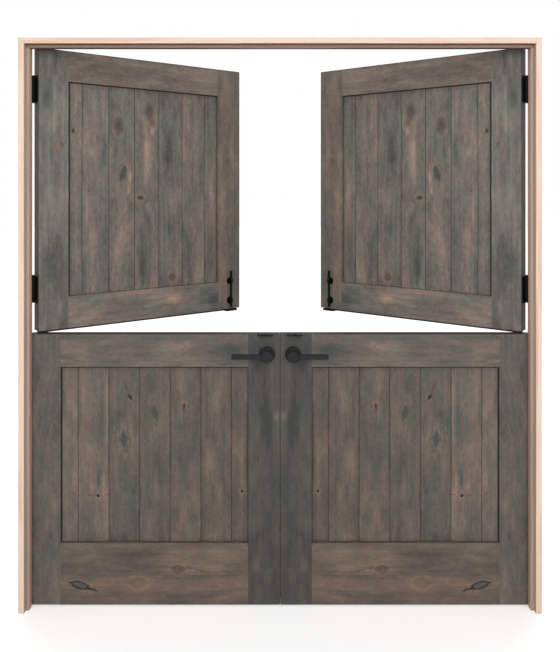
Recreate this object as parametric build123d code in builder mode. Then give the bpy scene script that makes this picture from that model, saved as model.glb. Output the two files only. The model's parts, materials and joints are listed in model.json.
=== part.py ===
from build123d import *
from collections import namedtuple
from math import cos, radians, sin
import os

# Leaves: two upper leaves that stand open at rest and two lower leaves that are shut.
leaf_width = 914.0
leaf_thickness = 44.5
lower_leaf_height = 988.0
upper_leaf_height = 1042.0
open_angle = 39.7

# Gaps round the leaves.
floor_clearance = 6.0
split_gap = 8.0
head_gap = 3.0
hinge_gap = 3.0
meeting_gap = 4.0

# Frame: two jambs, a head housed into them, and planted stops.
jamb_thickness = 21.0
jamb_depth = 95.0
head_housing = 8.0
stop_thickness = 12.5
stop_width = 28.0
stop_clearance = 1.0
frame_arris = 1.5

# Stiles and rails of a leaf.
stile_width = 114.0
upper_top_rail = 114.0
upper_bottom_rail = 118.0
lower_top_rail = 119.0
lower_bottom_rail = 225.0
tenon_length = 45.0
tenon_shoulder = 20.0
tenon_clearance = 0.1
mortise_end_gap = 1.0

# Panel of vertical boards, with a V at every joint, in a groove of the stiles and rails.
board_face = 112.5
board_thickness = 20.0
least_edge_board_share = 0.3
groove_depth = 12.0
groove_clearance = 0.2
panel_float = 2.0
board_gap = 0.4
v_joint = 2.5
tongue_length = 7.0
tongue_thickness = 6.0
tongue_clearance = 0.2

# Butt hinges, two on each leaf.
hinge_height = 100.0
hinge_end_distance = 150.0
hinge_plate_width = 33.0
hinge_plate_thickness = 2.8
knuckle_radius = 6.0
knuckle_count = 5
knuckle_gap = 0.3
knuckle_clearance = 0.4
hinge_pin_radius = 3.4
hinge_pin_clearance = 0.06
hinge_pin_head_radius = 5.2
hinge_pin_head_height = 3.2

# Slide bolt on the front of each upper leaf, with its foot plate and its keeper on the lower leaf.
bolt_inset = 52.0
bolt_standoff = 10.5
bolt_rod_radius = 4.75
bolt_rod_length = 160.0
bolt_rod_rise = 8.0
bolt_rod_rounding = 2.6
bolt_clearance = 0.15
guide_spacing = 85.0
guide_height = 38.0
guide_rose_radius = 15.5
guide_rose_thickness = 4.0
guide_rose_rounding = 1.5
guide_arch_radius = 8.6
guide_arch_length = 14.0
stop_pin_radius = 1.5
stop_pin_length = 14.0
stop_pin_gap = 0.3
foot_width = 57.0
foot_height = 7.0
foot_projection = 19.0
foot_seat = 22.0
foot_rounding = 5.0
keeper_thickness = 3.0
bolt_hole_clearance = 0.5

# Seal in a kerf under each upper leaf.
seal_width = 16.0
seal_setback = 4.0
seal_height = 7.0
seal_rounding = 3.0
seal_stem_width = 3.0
seal_stem_height = 6.0
seal_stem_clearance = 0.15
seal_end_gap = 0.5

# Lever sets on the lower leaves: a rosette and a lever on each face, and a square spindle.
lever_backset = 45.0
lever_drop = 73.0
rosette_radius = 29.0
rosette_thickness = 9.0
rosette_rounding = 2.5
neck_radius = 11.0
neck_clearance = 0.1
neck_gap = 0.5
hub_radius = 20.5
lever_bar_height = 17.0
lever_bar_thickness = 10.0
lever_reach = 127.0
lever_projection = 52.0
lever_edge = 1.2
spindle_side = 8.0
spindle_clearance = 0.05
spindle_reach = 30.0
spindle_hole_radius = 7.0

# Tubular latch in the right lower leaf and its strike plate in the left one.
latch_radius = 11.0
latch_depth = 58.0
latch_bore_clearance = 0.1
face_plate_height = 57.0
face_plate_width = 25.0
face_plate_thickness = 2.5
latch_bolt_height = 14.0
latch_bolt_thickness = 12.0
latch_bolt_tail = 24.0
latch_throw = 12.0
latch_bevel = 9.0
latch_clearance = 0.2
strike_pocket_gap = 2.0

# Sizes that follow from those above.
opening_half_width = leaf_width + hinge_gap + meeting_gap / 2
lower_leaf_bottom = floor_clearance
upper_leaf_bottom = floor_clearance + lower_leaf_height + split_gap
opening_height = upper_leaf_bottom + upper_leaf_height + head_gap
frame_rear = jamb_depth / 2
leaf_front_in_frame = frame_rear - leaf_thickness
hinge_setback = knuckle_radius + knuckle_clearance
hinge_axis_depth = frame_rear + hinge_setback

# Places on a leaf, from its hinge axis: along the leaf, through its thickness, and up from its foot.
hinge_edge = hinge_gap / 2
meeting_edge = hinge_edge + leaf_width
panel_start = hinge_edge + stile_width
panel_end = meeting_edge - stile_width
leaf_rear = -hinge_setback
leaf_front = leaf_rear - leaf_thickness
leaf_middle = (leaf_front + leaf_rear) / 2
panel_front = leaf_middle - board_thickness / 2
panel_rear = leaf_middle + board_thickness / 2
groove_front = panel_front - groove_clearance
groove_rear = panel_rear + groove_clearance
bolt_run = meeting_edge - bolt_inset
bolt_depth = leaf_front - bolt_standoff
bolt_hole_radius = bolt_rod_radius + bolt_hole_clearance
seal_start = hinge_edge + seal_end_gap
seal_length = bolt_run - foot_width / 2 - seal_end_gap - seal_start
seal_front = leaf_front + seal_setback
seal_middle = seal_front + seal_width / 2
lever_run = meeting_edge - lever_backset
lever_height = lower_leaf_height - lever_drop

# Limits of the latch's face plate and of the strike plate on a meeting edge: front, rear, bottom and top.
latch_face = (
    leaf_middle - face_plate_width / 2,
    leaf_middle + face_plate_width / 2,
    lever_height - face_plate_height / 2,
    lever_height + face_plate_height / 2,
)

Leaf = namedtuple("Leaf", "name side plane height top_rail bottom_rail")


def leaf_plane(side, angle, bottom):
    """Plane on the hinge axis of a left (side 1) or right (side -1) leaf, which runs along side times X."""
    turn = radians(side * angle)
    return Plane(
        origin=(-side * (opening_half_width - hinge_gap / 2), hinge_axis_depth, bottom),
        x_dir=(cos(turn), sin(turn), 0),
        z_dir=(0, 0, 1),
    )


def edge_plane(leaf, run):
    """Plane across the leaf: its X goes through the thickness, its Y up, and its Z along the leaf's X."""
    origin = leaf.plane.from_local_coords((leaf.side * run, 0, 0))
    return Plane(origin=origin, x_dir=leaf.plane.y_dir, z_dir=leaf.plane.x_dir)


def face_plane(leaf, depth):
    """Plane in the leaf's face: its X goes along the leaf's X, its Y goes up, its Z points to the front."""
    origin = leaf.plane.from_local_coords((0, depth, 0))
    return Plane(origin=origin, x_dir=leaf.plane.x_dir, z_dir=-leaf.plane.y_dir)


def block(x_low, x_high, y_low, y_high, mode=Mode.ADD):
    """Rectangle between two pairs of limits, in the sketch that is open."""
    with Locations(((x_low + x_high) / 2, (y_low + y_high) / 2)):
        Rectangle(abs(x_high - x_low), abs(y_high - y_low), mode=mode)


def cut_block(plane, x_low, x_high, y_low, y_high, depth):
    """Pocket of rectangular outline, cut from the part that is open."""
    with BuildSketch(plane) as outline:
        block(x_low, x_high, y_low, y_high)
    extrude(outline.sketch, amount=depth, mode=Mode.SUBTRACT)


def cut_round(plane, x, y, radius, depth, both=False):
    """Round hole, cut from the part that is open."""
    with BuildSketch(plane) as outline:
        with Locations((x, y)):
            Circle(radius)
    extrude(outline.sketch, amount=depth, both=both, mode=Mode.SUBTRACT)


def save(part, name):
    """Label a finished piece and write it to its own file."""
    part.label = name
    export_step(part, f"parts/{name}.step")


def hinge_bottoms(leaf_height):
    """Heights of the lower ends of a leaf's two hinges, above the leaf's bottom."""
    return [
        hinge_end_distance - hinge_height / 2,
        leaf_height - hinge_end_distance - hinge_height / 2,
    ]


# Frame


def side_jamb(side, leaves):
    """Jamb on one side: full height, housed at the top for the head, and let in for the hinge plates."""
    inner = -side * opening_half_width
    outer = -side * (opening_half_width + jamb_thickness)
    housing = -side * (opening_half_width + head_housing)
    hinge_pocket = -side * (opening_half_width + hinge_plate_thickness)
    with BuildPart() as jamb:
        with BuildSketch(Plane.XY) as section:
            block(inner, outer, -frame_rear, frame_rear)
            chamfer(section.vertices().group_by(Axis.Y)[0], length=frame_arris)
        extrude(amount=opening_height + jamb_thickness)
        top = Plane.XY.offset(opening_height)
        cut_block(top, inner, housing, -frame_rear, frame_rear, jamb_thickness)
        for leaf in leaves:
            for bottom in hinge_bottoms(leaf.height):
                level = Plane.XY.offset(leaf.plane.origin.Z + bottom)
                pocket_front = frame_rear - hinge_plate_width
                cut_block(level, inner, hinge_pocket, pocket_front, frame_rear, hinge_height)
    return jamb.part


def head_jamb():
    """Head of the frame, with its ends in the housings of the jambs."""
    half_length = opening_half_width + head_housing
    with BuildPart() as head:
        with BuildSketch(Plane.XY.offset(opening_height)):
            block(-half_length, half_length, -frame_rear, frame_rear)
        extrude(amount=jamb_thickness)
        chamfer(head.edges().filter_by(Axis.X).group_by(Axis.Y)[0], length=frame_arris)
    return head.part


def side_stop(side):
    """Stop planted on a jamb, just in front of the shut leaves."""
    inner = -side * (opening_half_width - stop_thickness)
    outer = -side * opening_half_width
    rear = leaf_front_in_frame - stop_clearance
    with BuildPart() as stop:
        with BuildSketch(Plane.XY) as section:
            block(inner, outer, rear - stop_width, rear)
            front_corners = section.vertices().group_by(Axis.Y)[0]
            chamfer(front_corners.sort_by(lambda corner: abs(corner.X))[0], length=frame_arris)
        extrude(amount=opening_height - stop_thickness)
    return stop.part


def head_stop():
    """Stop planted under the head, from jamb to jamb."""
    rear = leaf_front_in_frame - stop_clearance
    with BuildPart() as stop:
        with BuildSketch(Plane.XY.offset(opening_height - stop_thickness)):
            block(-opening_half_width, opening_half_width, rear - stop_width, rear)
        extrude(amount=stop_thickness)
        front_edges = stop.edges().filter_by(Axis.X).group_by(Axis.Y)[0]
        chamfer(front_edges.sort_by(Axis.Z)[0], length=frame_arris)
    return stop.part


# Leaves


def rail_spans(leaf):
    """Lower and upper limits of the bottom rail and of the top rail, and of the tenons on each."""
    bottom_rail = (0, leaf.bottom_rail)
    top_rail = (leaf.height - leaf.top_rail, leaf.height)
    bottom_tenon = (tenon_shoulder, leaf.bottom_rail - groove_depth)
    top_tenon = (leaf.height - leaf.top_rail + groove_depth, leaf.height - tenon_shoulder)
    return bottom_rail, top_rail, bottom_tenon, top_tenon


def cut_seal_kerf(leaf):
    """Kerf for the stem of the seal, along the bottom of an upper leaf."""
    half_kerf = seal_stem_width / 2 + seal_stem_clearance
    top = seal_stem_height + seal_stem_clearance
    start = edge_plane(leaf, seal_start)
    cut_block(start, seal_middle - half_kerf, seal_middle + half_kerf, 0, top, leaf.side * seal_length)


def cut_lever_seats(leaf, has_latch):
    """Spindle hole, and the bore of the latch or the pocket of its strike, in a lower meeting stile."""
    face = face_plane(leaf, leaf_middle)
    cut_round(face, leaf.side * lever_run, lever_height, spindle_hole_radius, leaf_thickness, both=True)
    edge = edge_plane(leaf, meeting_edge)
    inward = -leaf.side
    cut_block(edge, *latch_face, inward * face_plate_thickness)
    if has_latch:
        bore = latch_radius + latch_bore_clearance
        cut_round(edge, leaf_middle, lever_height, bore, inward * (latch_depth + mortise_end_gap))
    else:
        cut_bolt_hole(edge, inward * (latch_throw - meeting_gap + strike_pocket_gap))


def cut_bolt_hole(edge, depth):
    """Hole in a meeting edge for the latch bolt, with its running clearance."""
    half_thickness = latch_bolt_thickness / 2 + latch_clearance
    half_height = latch_bolt_height / 2 + latch_clearance
    cut_block(
        edge,
        leaf_middle - half_thickness,
        leaf_middle + half_thickness,
        lever_height - half_height,
        lever_height + half_height,
        depth,
    )


def stile(leaf, outer, inner):
    """Stile from its outer edge to the panel, grooved for the boards and mortised for the rails."""
    side = leaf.side
    towards_outer = side if outer > inner else -side
    with BuildPart() as piece:
        with BuildSketch(leaf.plane):
            block(side * outer, side * inner, leaf_front, leaf_rear)
            groove_floor = side * inner + towards_outer * groove_depth
            block(side * inner, groove_floor, groove_front, groove_rear, mode=Mode.SUBTRACT)
        extrude(amount=leaf.height)
        inner_edge = edge_plane(leaf, inner)
        for low, high in rail_spans(leaf)[2:]:
            mortise_low = low - tenon_clearance
            mortise_high = high + tenon_clearance
            depth = towards_outer * (tenon_length + mortise_end_gap)
            cut_block(inner_edge, groove_front, groove_rear, mortise_low, mortise_high, depth)
        if outer == hinge_edge:
            for bottom in hinge_bottoms(leaf.height):
                level = leaf.plane.offset(bottom)
                pocket = side * (hinge_edge + hinge_plate_thickness)
                pocket_front = leaf_rear - hinge_plate_width
                cut_block(level, side * outer, pocket, pocket_front, leaf_rear, hinge_height)
        if leaf.name.startswith("upper"):
            cut_seal_kerf(leaf)
        elif outer == meeting_edge:
            cut_lever_seats(leaf, has_latch=side < 0)
            top = leaf.plane.offset(leaf.height)
            seat_start = side * (bolt_run - foot_width / 2)
            seat_end = side * (bolt_run + foot_width / 2)
            cut_block(top, seat_start, seat_end, leaf_front, leaf_front + foot_seat, -keeper_thickness)
    return piece.part


def rail(leaf, rail_span, tenon_span, is_top):
    """Rail between the stiles: shoulders, stubs in the stile grooves, tenons, and the boards' groove."""
    side = leaf.side
    low, high = rail_span
    stub_low, stub_high = (low + groove_depth, high) if is_top else (low, high - groove_depth)
    groove = (low, low + groove_depth) if is_top else (high - groove_depth, high)
    tenon_front = groove_front + tenon_clearance
    tenon_rear = groove_rear - tenon_clearance
    panel_width = panel_end - panel_start
    stub_length = groove_depth - tenon_clearance
    with BuildPart() as piece:
        with BuildSketch(edge_plane(leaf, panel_start)):
            block(leaf_front, leaf_rear, low, high)
        extrude(amount=side * panel_width)
        with BuildSketch(edge_plane(leaf, panel_start - stub_length)):
            block(tenon_front, tenon_rear, stub_low, stub_high)
        extrude(amount=side * (panel_width + 2 * stub_length))
        with BuildSketch(edge_plane(leaf, panel_start - tenon_length)):
            block(tenon_front, tenon_rear, *tenon_span)
        extrude(amount=side * (panel_width + 2 * tenon_length))
        cut_block(edge_plane(leaf, panel_start), groove_front, groove_rear, *groove, side * panel_width)
        if leaf.name.startswith("upper") and not is_top:
            cut_seal_kerf(leaf)
    return piece.part


def board_joints():
    """Places of the joints between boards: whole boards about the panel's middle, the rest at its edges."""
    half_panel = (panel_end - panel_start) / 2
    spare = half_panel - board_face / 2 - least_edge_board_share * board_face
    boards_each_side = int(spare // board_face)
    middle = panel_start + half_panel
    first = middle - board_face / 2 - boards_each_side * board_face
    return [first + number * board_face for number in range(2 * boards_each_side + 2)]


def boards(leaf):
    """Tongued and grooved boards of the panel, with a V at both faces of each joint."""
    side = leaf.side
    let_in = groove_depth - panel_float
    joints = board_joints()
    starts = [panel_start - let_in] + [joint + board_gap / 2 for joint in joints]
    ends = [joint - board_gap / 2 for joint in joints] + [panel_end + let_in]
    bottom = leaf.bottom_rail - let_in
    length = leaf.height - leaf.top_rail + let_in - bottom
    half_tongue = tongue_thickness / 2
    half_slot = half_tongue + tongue_clearance
    with BuildPart() as panel:
        for start, end in zip(starts, ends):
            with BuildSketch(leaf.plane.offset(bottom)) as section:
                block(side * start, side * end, panel_front, panel_rear)
                by_run = section.vertices().sort_by(lambda corner: side * corner.X)
                if start != starts[0]:
                    chamfer(by_run[:2], length=v_joint)
                    slot_end = side * (start + tongue_length + tongue_clearance)
                    slot = (side * start, slot_end, leaf_middle - half_slot, leaf_middle + half_slot)
                    block(*slot, mode=Mode.SUBTRACT)
                if end != ends[-1]:
                    chamfer(by_run[2:], length=v_joint)
                    tongue_end = side * (end + tongue_length)
                    block(side * end, tongue_end, leaf_middle - half_tongue, leaf_middle + half_tongue)
            extrude(amount=length)
    return panel.part


# Hinges


def hinge_half(plane, leaf_height, direction, first_knuckle):
    """Plates of a leaf's two hinges on one side of their axis, with every other knuckle from the first."""
    plate_near = direction * hinge_gap / 2
    plate_far = direction * (hinge_gap / 2 + hinge_plate_thickness)
    knuckle_pitch = hinge_height / knuckle_count
    with BuildPart() as plates:
        for bottom in hinge_bottoms(leaf_height):
            with BuildSketch(plane.offset(bottom)):
                block(plate_near, plate_far, leaf_rear - hinge_plate_width, leaf_rear)
            extrude(amount=hinge_height)
            for number in range(first_knuckle, knuckle_count, 2):
                with BuildSketch(plane.offset(bottom + number * knuckle_pitch + knuckle_gap / 2)):
                    Circle(knuckle_radius)
                    block(plate_near, plate_far, leaf_rear - hinge_plate_thickness, 0)
                    Circle(hinge_pin_radius + hinge_pin_clearance, mode=Mode.SUBTRACT)
                extrude(amount=knuckle_pitch - knuckle_gap)
    return plates.part


def hinge_pins(leaves):
    """Pins of all the hinges on one jamb, each with a round head on the top knuckle."""
    with BuildPart() as pins:
        for leaf in leaves:
            for bottom in hinge_bottoms(leaf.height):
                with BuildSketch(leaf.plane.offset(bottom)):
                    Circle(hinge_pin_radius)
                extrude(amount=hinge_height)
                with BuildSketch(leaf.plane.offset(bottom + hinge_height)):
                    Circle(hinge_pin_head_radius)
                extrude(amount=hinge_pin_head_height)
    return pins.part


# Slide bolts and seals of the upper leaves


def bolt_guides(leaf):
    """Two round roses on the front face, each with an arch that the bolt rod runs in."""
    x = leaf.side * bolt_run
    with BuildPart() as guides:
        for height in (guide_height, guide_height + guide_spacing):
            with BuildSketch(face_plane(leaf, leaf_front)):
                with Locations((x, height)):
                    Circle(guide_rose_radius)
            extrude(amount=guide_rose_thickness)
        roses_front = guides.faces().group_by(Axis((0, 0, 0), -leaf.plane.y_dir))[-1]
        chamfer(roses_front.edges(), length=guide_rose_rounding)
        for height in (guide_height, guide_height + guide_spacing):
            with BuildSketch(leaf.plane.offset(height - guide_arch_length / 2)):
                with Locations((x, bolt_depth)):
                    Circle(guide_arch_radius)
                block(x - guide_arch_radius, x + guide_arch_radius, bolt_depth, leaf_front)
            extrude(amount=guide_arch_length)
        cut_round(leaf.plane, x, bolt_depth, bolt_rod_radius + bolt_clearance, leaf.height)
    return guides.part


def bolt_rod(leaf):
    """Round rod of the slide bolt, drawn up, with a cross pin that stops it under the upper guide."""
    x = leaf.side * bolt_run
    pin_height = guide_height + guide_spacing - guide_arch_length / 2 - stop_pin_gap - stop_pin_radius
    with BuildPart() as rod:
        with BuildSketch(leaf.plane.offset(bolt_rod_rise)):
            with Locations((x, bolt_depth)):
                Circle(bolt_rod_radius)
        extrude(amount=bolt_rod_length)
        ends = rod.edges().filter_by(GeomType.CIRCLE)
        fillet(ends, radius=bolt_rod_rounding)
        with BuildSketch(edge_plane(leaf, bolt_run)):
            with Locations((bolt_depth, pin_height)):
                Circle(stop_pin_radius)
        extrude(amount=stop_pin_length / 2, both=True)
    return rod.part


def bolt_plate(leaf, bottom, thickness):
    """Plate across a leaf's edge that reaches out in front of the face, with a hole for the bolt rod."""
    x = leaf.side * bolt_run
    with BuildPart() as plate:
        with BuildSketch(leaf.plane.offset(bottom)) as outline:
            front = leaf_front - foot_projection
            block(x - foot_width / 2, x + foot_width / 2, front, leaf_front + foot_seat)
            fillet(outline.vertices().group_by(Axis.Y)[0], radius=foot_rounding)
            with Locations((x, bolt_depth)):
                Circle(bolt_hole_radius, mode=Mode.SUBTRACT)
        extrude(amount=thickness)
    return plate.part


def edge_seal(leaf):
    """Strip under an upper leaf, from the hinge side to the bolt's foot, held by a stem in a kerf."""
    with BuildPart() as seal:
        with BuildSketch(edge_plane(leaf, seal_start)) as section:
            block(seal_front, seal_front + seal_width, -seal_height, 0)
            fillet(section.vertices().group_by(Axis.Y)[0], radius=seal_rounding)
            half_stem = seal_stem_width / 2
            block(seal_middle - half_stem, seal_middle + half_stem, 0, seal_stem_height)
        extrude(amount=leaf.side * seal_length)
    return seal.part


# Lever sets and latch of the lower leaves


def rosette(leaf, depth, outward):
    """Round rose on one face, bored for the neck of its lever."""
    with BuildPart() as rose:
        with BuildSketch(face_plane(leaf, depth)):
            with Locations((leaf.side * lever_run, lever_height)):
                Circle(rosette_radius)
        extrude(amount=outward * rosette_thickness)
        front = rose.faces().sort_by(Axis((0, 0, 0), -outward * leaf.plane.y_dir))[-1]
        fillet(front.edges(), radius=rosette_rounding)
        face = face_plane(leaf, depth)
        bore = neck_radius + neck_clearance
        cut_round(face, leaf.side * lever_run, lever_height, bore, outward * rosette_thickness)
    return rose.part


def lever(leaf, depth, outward):
    """Straight lever with a round hub and neck, socketed for the spindle, pointing to the hinge side."""
    x = leaf.side * lever_run
    bar_back = lever_projection - lever_bar_thickness
    tip = x - leaf.side * lever_reach
    half_bar = lever_bar_height / 2
    with BuildPart() as handle:
        with BuildSketch(face_plane(leaf, depth - outward * bar_back)):
            with Locations((x, lever_height)):
                Circle(hub_radius)
            block(x, tip, lever_height - half_bar, lever_height + half_bar)
        extrude(amount=outward * lever_bar_thickness)
        front = handle.faces().sort_by(Axis((0, 0, 0), -outward * leaf.plane.y_dir))[-1]
        chamfer(front.edges(), length=lever_edge)
        with BuildSketch(face_plane(leaf, depth - outward * neck_gap)):
            with Locations((x, lever_height)):
                Circle(neck_radius)
        extrude(amount=outward * (bar_back - neck_gap))
        half_socket = spindle_side / 2 + spindle_clearance
        cut_block(
            face_plane(leaf, depth),
            x - half_socket,
            x + half_socket,
            lever_height - half_socket,
            lever_height + half_socket,
            outward * (spindle_reach + spindle_clearance),
        )
    return handle.part


def spindle(leaf):
    """Square spindle through the leaf, into the sockets of both levers."""
    with BuildPart() as bar:
        with BuildSketch(face_plane(leaf, leaf_middle)):
            with Locations((leaf.side * lever_run, lever_height)):
                Rectangle(spindle_side, spindle_side)
        extrude(amount=leaf_thickness / 2 + spindle_reach, both=True)
    return bar.part


def latch_case(leaf):
    """Face plate and tube of the latch, with a channel for the bolt and a cross hole for the spindle."""
    inward = -leaf.side
    edge = edge_plane(leaf, meeting_edge)
    with BuildPart() as case:
        with BuildSketch(edge):
            block(*latch_face)
        extrude(amount=inward * face_plate_thickness)
        with BuildSketch(edge):
            with Locations((leaf_middle, lever_height)):
                Circle(latch_radius)
        extrude(amount=inward * latch_depth)
        cut_bolt_hole(edge, inward * lever_backset)
        face = face_plane(leaf, leaf_middle)
        cut_round(face, leaf.side * lever_run, lever_height, spindle_hole_radius, latch_radius, both=True)
    return case.part


def latch_bolt(leaf):
    """Latch bolt, out of its case by its throw, with a bevel in front that lets the leaf snap shut."""
    side = leaf.side
    front = leaf_middle - latch_bolt_thickness / 2
    rear = leaf_middle + latch_bolt_thickness / 2
    tail = side * (meeting_edge - latch_bolt_tail)
    nose = side * (meeting_edge + latch_throw)
    bevel_start = side * (meeting_edge + latch_throw - latch_bevel)
    with BuildPart() as bolt:
        with BuildSketch(leaf.plane.offset(lever_height - latch_bolt_height / 2)):
            with BuildLine():
                Polyline(
                    (tail, front),
                    (bevel_start, front),
                    (nose, leaf_middle),
                    (nose, rear),
                    (tail, rear),
                    close=True,
                )
            make_face()
        extrude(amount=latch_bolt_height)
    return bolt.part


def strike_plate(leaf):
    """Plate in the meeting edge of the other leaf, with a hole that takes the latch bolt."""
    edge = edge_plane(leaf, meeting_edge)
    with BuildPart() as strike:
        with BuildSketch(edge):
            block(*latch_face)
        extrude(amount=-leaf.side * face_plate_thickness)
        cut_bolt_hole(edge, -leaf.side * face_plate_thickness)
    return strike.part


# The whole door

os.makedirs("parts", exist_ok=True)

left, right = 1, -1
side_names = {left: "left", right: "right"}

for side, side_name in side_names.items():
    upper_plane = leaf_plane(side, open_angle, upper_leaf_bottom)
    lower_plane = leaf_plane(side, 0, lower_leaf_bottom)
    upper_sizes = (upper_leaf_height, upper_top_rail, upper_bottom_rail)
    lower_sizes = (lower_leaf_height, lower_top_rail, lower_bottom_rail)
    upper = Leaf(f"upper_{side_name}", side, upper_plane, *upper_sizes)
    lower = Leaf(f"lower_{side_name}", side, lower_plane, *lower_sizes)

    save(side_jamb(side, (upper, lower)), f"{side_name}_jamb")
    save(side_stop(side), f"{side_name}_stop")
    save(hinge_pins((upper, lower)), f"{side_name}_hinge_pins")

    for leaf in (upper, lower):
        bottom_span, top_span, bottom_tenon, top_tenon = rail_spans(leaf)
        save(stile(leaf, hinge_edge, panel_start), f"{leaf.name}_hinge_stile")
        save(stile(leaf, meeting_edge, panel_end), f"{leaf.name}_meeting_stile")
        save(rail(leaf, top_span, top_tenon, is_top=True), f"{leaf.name}_top_rail")
        save(rail(leaf, bottom_span, bottom_tenon, is_top=False), f"{leaf.name}_bottom_rail")
        save(boards(leaf), f"{leaf.name}_boards")
        save(hinge_half(leaf.plane, leaf.height, side, 1), f"{leaf.name}_leaf_hinge_plates")
        shut_plane = leaf_plane(side, 0, leaf.plane.origin.Z)
        save(hinge_half(shut_plane, leaf.height, -side, 0), f"{leaf.name}_frame_hinge_plates")

    save(bolt_guides(upper), f"{side_name}_bolt_guides")
    save(bolt_rod(upper), f"{side_name}_bolt_rod")
    save(bolt_plate(upper, -foot_height, foot_height), f"{side_name}_bolt_foot")
    save(edge_seal(upper), f"{side_name}_edge_seal")

    keeper_bottom = lower_leaf_height - keeper_thickness
    save(bolt_plate(lower, keeper_bottom, keeper_thickness), f"{side_name}_bolt_keeper")
    for place, depth, outward in (("front", leaf_front, 1), ("rear", leaf_rear, -1)):
        save(rosette(lower, depth, outward), f"{side_name}_{place}_rosette")
        save(lever(lower, depth, outward), f"{side_name}_{place}_lever")
    save(spindle(lower), f"{side_name}_spindle")
    if side == right:
        save(latch_case(lower), "latch_case")
        save(latch_bolt(lower), "latch_bolt")
    else:
        save(strike_plate(lower), "strike_plate")

save(head_jamb(), "head_jamb")
save(head_stop(), "head_stop")
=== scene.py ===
"""Looks of the stable door: stained alder leaves in a pale pine frame, with black iron fittings."""

import json
from collections import namedtuple
from math import cos, pi, radians, sin

import bmesh
import bpy
from mathutils import Matrix, Vector


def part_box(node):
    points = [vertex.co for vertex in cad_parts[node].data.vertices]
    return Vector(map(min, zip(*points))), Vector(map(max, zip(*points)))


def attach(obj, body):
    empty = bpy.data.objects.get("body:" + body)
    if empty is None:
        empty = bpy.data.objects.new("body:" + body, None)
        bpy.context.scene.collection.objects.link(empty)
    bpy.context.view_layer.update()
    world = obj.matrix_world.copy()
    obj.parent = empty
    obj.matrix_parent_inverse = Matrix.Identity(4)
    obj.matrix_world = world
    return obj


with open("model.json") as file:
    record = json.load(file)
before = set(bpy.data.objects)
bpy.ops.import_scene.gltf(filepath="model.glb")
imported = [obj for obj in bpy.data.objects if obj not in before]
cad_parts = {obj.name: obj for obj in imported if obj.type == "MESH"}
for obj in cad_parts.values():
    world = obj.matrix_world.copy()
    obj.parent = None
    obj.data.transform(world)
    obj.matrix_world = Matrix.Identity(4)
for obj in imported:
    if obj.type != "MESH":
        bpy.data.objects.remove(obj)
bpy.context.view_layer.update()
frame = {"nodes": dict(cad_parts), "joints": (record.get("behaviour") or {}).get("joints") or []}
nodes = frame["nodes"]
joints = {joint["name"]: joint for joint in frame["joints"]}
levels = ("lower", "upper")
sides = ("left", "right")

# Camera, set as the photograph was framed.
image_width = 560
focal_length_px = 768.7
sensor_width_mm = 36.0
camera_distance = 2.805
camera_height = 1.515
camera_shift = -0.24
camera_tilt = radians(90)

# Studio.
white = (1.0, 1.0, 1.0, 1.0)
lamp_size = 3.0
front_lamp_power = 80.0
rear_lamp_power = 50.0
front_lamp_places = ((-1.9, -4.6, 2.9), (1.9, -4.6, 2.9))
rear_lamp_places = ((-3.4, 3.8, 2.9), (3.4, 3.8, 2.9))
lamp_aim = (0.0, 0.2, 1.0)
sky_light = 0.44
floor_half_width = 30.0
floor_drop = 0.0005
floor_tone = (0.82, 0.82, 0.82, 1.0)
floor_roughness = 0.9
floor_glow = 0.48
far_floor_glow = 0.75
shadow_reach = 1.6
far_floor_reach = 3.2

# Leaves, measured from the hinge axis along the leaf, through it and up.
hinge_x = abs(joints["upper_left_swing"]["pos_m"][0])
hinge_y = joints["upper_left_swing"]["pos_m"][1]
open_angle = radians(-joints["upper_left_swing"]["range_deg"][0])
leaf_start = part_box("lower_left_hinge_stile")[0].x + hinge_x
leaf_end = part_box("lower_left_meeting_stile")[1].x + hinge_x
leaf_middle = (leaf_start + leaf_end) / 2
leaf_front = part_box("lower_left_hinge_stile")[0].y - hinge_y
leaf_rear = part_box("lower_left_hinge_stile")[1].y - hinge_y
leaf_bottom = {level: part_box(level + "_left_hinge_stile")[0].z for level in levels}
leaf_top = {level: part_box(level + "_left_hinge_stile")[1].z for level in levels}
panel_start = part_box("lower_left_hinge_stile")[1].x + hinge_x
panel_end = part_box("lower_left_meeting_stile")[0].x + hinge_x
panel_bottom = {level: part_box(level + "_left_bottom_rail")[1].z for level in levels}
panel_top = {level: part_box(level + "_left_top_rail")[0].z for level in levels}
board_face = 0.1125
board_count = 7

# How far the wood's edges are eased.
eased_edge = 0.0010
ease_segments = 2
ease_angle = radians(50)
weld_distance = 1e-6

# Screws: heads, and where they sit on a hinge plate, from its foot and from the leaf's rear face.
screw_radius = 0.0038
screw_rise = 0.0009
screw_sink = 0.0004
hinge_height = 0.100
hinge_screw_rises = (0.014, 0.038, 0.062, 0.086)
hinge_screw_depths = (0.024, 0.012)
plate_screw_rise = 0.0215

# A quarter of the cross recess, in degrees and shares of the radius, and a head's rings from its foot
# inwards, in shares of the round edge, of the cross and of the rise.
cross_quarter_shares = ((-12, 0.58), (12, 0.58), (33, 0.24), (45, 0.20), (57, 0.24))
screw_ring_shares = (
    (1.0, 0.0, 0.0),
    (0.84, 0.0, 0.75),
    (0.30, 0.45, 1.0),
    (0.0, 1.0, 1.0),
    (0.0, 0.85, 0.1),
)

# Slide bolts.
bolt_inset = 0.052
bolt_run = leaf_end - bolt_inset
guide_rose_thickness = 0.004
guide_heights = (0.038, 0.123)
guide_screw_offset = 0.0114
guide_screw_radius = 0.0020

# Brushes between the leaves.
brush_root = 0.0010
brush_reach = 0.00385
brush_shoulder_share = 0.6
brush_width = 0.0050
brush_setback = 0.0020
brush_tufts = 160
brush_ruffle_share = 0.04
brush_end_gap = 0.0008

# Pads under the free corners of the upper leaves.
pad_length = 0.0820
pad_overlap = 0.0034
pad_setback = 0.0040
pad_width = 0.0160
pad_drop = 0.0070
pad_rounding = 0.0030
pad_rounding_steps = 4
pad_sink = 0.0004

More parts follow.
